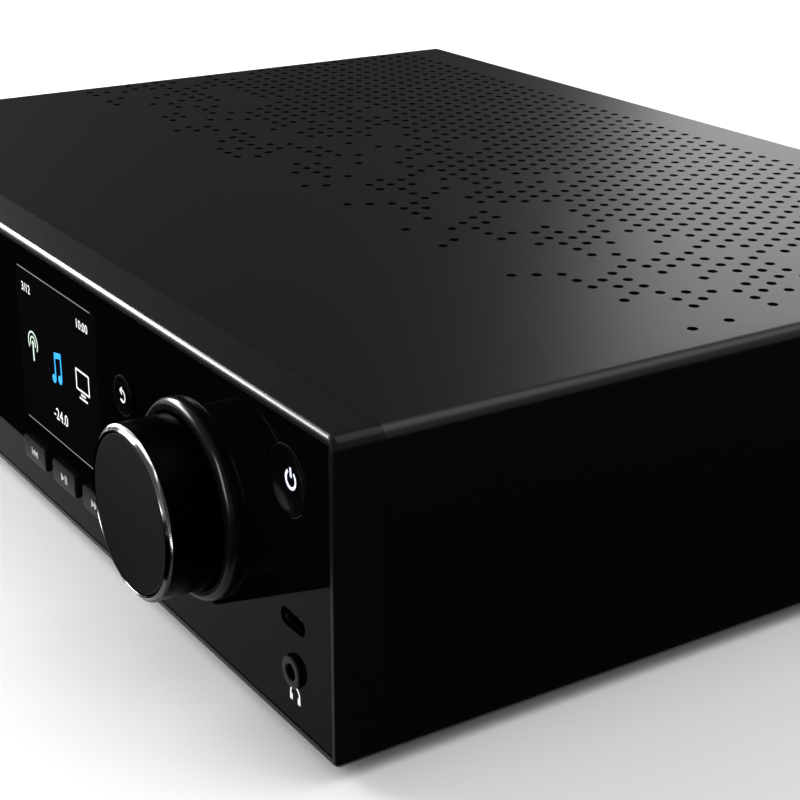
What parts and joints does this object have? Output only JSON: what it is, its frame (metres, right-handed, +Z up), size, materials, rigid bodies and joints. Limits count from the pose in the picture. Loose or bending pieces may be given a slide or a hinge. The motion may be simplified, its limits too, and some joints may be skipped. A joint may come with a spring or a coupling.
{
  "type": "stereo receiver",
  "caption": "Low, wide black stereo receiver with a colour display, a large volume knob, push buttons, front sockets and screw-down speaker terminals.",
  "frame": {"origin": "middle of the whole object's footprint, on the surface that the feet stand on", "axes": "+X across the front to the right as seen by someone facing it, +Y from the front to the back, +Z up"},
  "size_m": [0.312, 0.264, 0.073],
  "materials": {
    "cover_steel": "fine satin black powder coat",
    "frame_metal": "satin black",
    "panel_gloss": "piano black",
    "lens_glass": "clear hard coat over black",
    "display": "smooth",
    "bracket_plastic": "moulded",
    "button_plastic": "satin",
    "knob_black": "black anodised",
    "knob_face": "dark fine satin",
    "knob_chrome": "polished bevel",
    "collar_gloss": "piano black",
    "steel_parts": "plated",
    "zinc_steel": "zinc plated",
    "sink_aluminium": "extruded",
    "board": "green solder mask",
    "switch_plastic": "moulded",
    "socket_plastic": "moulded",
    "terminal_black": "moulded",
    "terminal_red": "moulded",
    "gold_plate": "plated",
    "capacitor_sleeve": "shrink sleeve",
    "transformer_iron": "varnished laminations",
    "ribbon": "flat cable",
    "chip_plastic": "moulded epoxy",
    "foot_rubber": "matt"
  },
  "bodies": {
    "case": {"top_cover": "cover_steel", "rear_panel": "cover_steel", "front_frame": "frame_metal", "front_panel": "panel_gloss", "display_lens": "lens_glass", "display_module": "display", "display_bracket": "bracket_plastic", "power_switch": "switch_plastic", "back_switch": "switch_plastic", "previous_switch": "switch_plastic", "play_switch": "switch_plastic", "next_switch": "switch_plastic", "knob_collar": "collar_gloss", "encoder_nut": "steel_parts", "usb_c_socket": "steel_parts", "base_tray": "zinc_steel", "encoder_body": "zinc_steel", "lan_socket": "zinc_steel", "antenna_socket": "zinc_steel", "tuner_module": "zinc_steel", "network_module": "zinc_steel", "heat_sink": "sink_aluminium", "control_board": "board", "main_board": "board", "supply_board": "board", "headphone_socket": "socket_plastic", "rca_socket_block": "socket_plastic", "mains_inlet": "socket_plastic", "amplifier_chip": "chip_plastic", "power_transformer": "transformer_iron", "reservoir_capacitor_front": "capacitor_sleeve", "reservoir_capacitor_rear": "capacitor_sleeve", "ribbon_cable": "ribbon", "speaker_terminal_block": "terminal_black", "foot_front_left": "foot_rubber", "foot_front_right": "foot_rubber", "foot_rear_left": "foot_rubber", "foot_rear_right": "foot_rubber", "foot_screw_front_left": "steel_parts", "foot_screw_front_right": "steel_parts", "foot_screw_rear_left": "steel_parts", "foot_screw_rear_right": "steel_parts"},
    "knob_plunger": {"encoder_plunger": "switch_plastic"},
    "knob": {"knob_skirt": "knob_black", "knob_rim": "knob_chrome", "knob_cap": "knob_face", "encoder_shaft": "steel_parts"},
    "power_key": {"power_button": "button_plastic"},
    "back_key": {"back_button": "button_plastic"},
    "previous_key": {"previous_button": "button_plastic"},
    "play_key": {"play_button": "button_plastic"},
    "next_key": {"next_button": "button_plastic"},
    "washer_left_minus": {"clamp_washer_left_minus": "gold_plate"},
    "cap_left_minus": {"terminal_cap_left_minus": "terminal_black"},
    "washer_left_plus": {"clamp_washer_left_plus": "gold_plate"},
    "cap_left_plus": {"terminal_cap_left_plus": "terminal_red"},
    "washer_right_minus": {"clamp_washer_right_minus": "gold_plate"},
    "cap_right_minus": {"terminal_cap_right_minus": "terminal_black"},
    "washer_right_plus": {"clamp_washer_right_plus": "gold_plate"},
    "cap_right_plus": {"terminal_cap_right_plus": "terminal_red"}
  },
  "joints": [
    {"name": "knob_push", "type": "slide", "parent": "case", "child": "knob_plunger", "axis": [0, 1, 0], "range_m": [0, 0.0008], "stiffness_N_per_m": 1500, "springref_m": -0.0006},
    {"name": "knob_turn", "type": "hinge", "parent": "knob_plunger", "child": "knob", "pos_m": [0.096, -0.11735, 0.038], "axis": [0, 1, 0], "continuous": true},
    {"name": "power_button_press", "type": "slide", "parent": "case", "child": "power_key", "axis": [0, 1, 0], "range_m": [0, 0.0008], "stiffness_N_per_m": 900, "springref_m": -0.0006},
    {"name": "back_button_press", "type": "slide", "parent": "case", "child": "back_key", "axis": [0, 1, 0], "range_m": [0, 0.0008], "stiffness_N_per_m": 900, "springref_m": -0.0006},
    {"name": "previous_button_press", "type": "slide", "parent": "case", "child": "previous_key", "axis": [0, 1, 0], "range_m": [0, 0.0008], "stiffness_N_per_m": 900, "springref_m": -0.0006},
    {"name": "play_button_press", "type": "slide", "parent": "case", "child": "play_key", "axis": [0, 1, 0], "range_m": [0, 0.0008], "stiffness_N_per_m": 900, "springref_m": -0.0006},
    {"name": "next_button_press", "type": "slide", "parent": "case", "child": "next_key", "axis": [0, 1, 0], "range_m": [0, 0.0008], "stiffness_N_per_m": 900, "springref_m": -0.0006},
    {"name": "terminal_left_minus_travel", "type": "slide", "parent": "case", "child": "washer_left_minus", "axis": [0, 1, 0], "range_m": [0, 0.003]},
    {"name": "terminal_left_minus_turn", "type": "hinge", "parent": "washer_left_minus", "child": "cap_left_minus", "pos_m": [-0.0895, 0.12005, 0.038], "axis": [0, 1, 0], "range_deg": [0, 1440]},
    {"name": "terminal_left_plus_travel", "type": "slide", "parent": "case", "child": "washer_left_plus", "axis": [0, 1, 0], "range_m": [0, 0.003]},
    {"name": "terminal_left_plus_turn", "type": "hinge", "parent": "washer_left_plus", "child": "cap_left_plus", "pos_m": [-0.0705, 0.12005, 0.038], "axis": [0, 1, 0], "range_deg": [0, 1440]},
    {"name": "terminal_right_minus_travel", "type": "slide", "parent": "case", "child": "washer_right_minus", "axis": [0, 1, 0], "range_m": [0, 0.003]},
    {"name": "terminal_right_minus_turn", "type": "hinge", "parent": "washer_right_minus", "child": "cap_right_minus", "pos_m": [-0.0515, 0.12005, 0.038], "axis": [0, 1, 0], "range_deg": [0, 1440]},
    {"name": "terminal_right_plus_travel", "type": "slide", "parent": "case", "child": "washer_right_plus", "axis": [0, 1, 0], "range_m": [0, 0.003]},
    {"name": "terminal_right_plus_turn", "type": "hinge", "parent": "washer_right_plus", "child": "cap_right_plus", "pos_m": [-0.0325, 0.12005, 0.038], "axis": [0, 1, 0], "range_deg": [0, 1440]}
  ],
  "couplings": [
    {"joint": "terminal_left_minus_turn", "follows": "terminal_left_minus_travel", "rad_per_m": 8377},
    {"joint": "terminal_left_plus_turn", "follows": "terminal_left_plus_travel", "rad_per_m": 8377},
    {"joint": "terminal_right_minus_turn", "follows": "terminal_right_minus_travel", "rad_per_m": 8377},
    {"joint": "terminal_right_plus_turn", "follows": "terminal_right_plus_travel", "rad_per_m": 8377}
  ]
}
